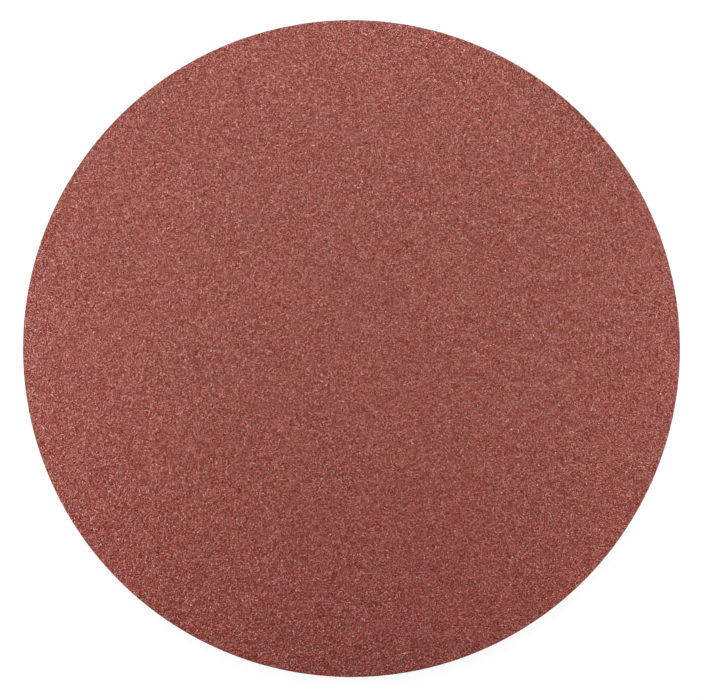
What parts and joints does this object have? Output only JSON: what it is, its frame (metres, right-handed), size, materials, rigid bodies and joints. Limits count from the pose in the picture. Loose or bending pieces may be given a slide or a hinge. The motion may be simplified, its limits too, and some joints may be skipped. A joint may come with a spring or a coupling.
{
  "type": "hook and loop sanding disc",
  "caption": "Plain round sanding disc of coated abrasive paper laminated to a loop fabric that grips a hook-faced backing pad.",
  "frame": {"origin": "centre of the disc in the plane of the loop tips, which is the plane that the disc rests on", "axes": "+Z along the disc's axis, out of the abrasive face; +X along the rows of loops; +Y across them"},
  "size_m": [0.15, 0.15, 0.0015],
  "materials": {
    "abrasive_grain": "matte",
    "backing_paper": "matte",
    "laminating_adhesive": "satin",
    "loop_fabric": "matte"
  },
  "bodies": {
    "root": {"grain_coat": "abrasive_grain", "backing_paper": "backing_paper", "laminating_adhesive": "laminating_adhesive", "loop_fabric": "loop_fabric"}
  },
  "joints": []
}
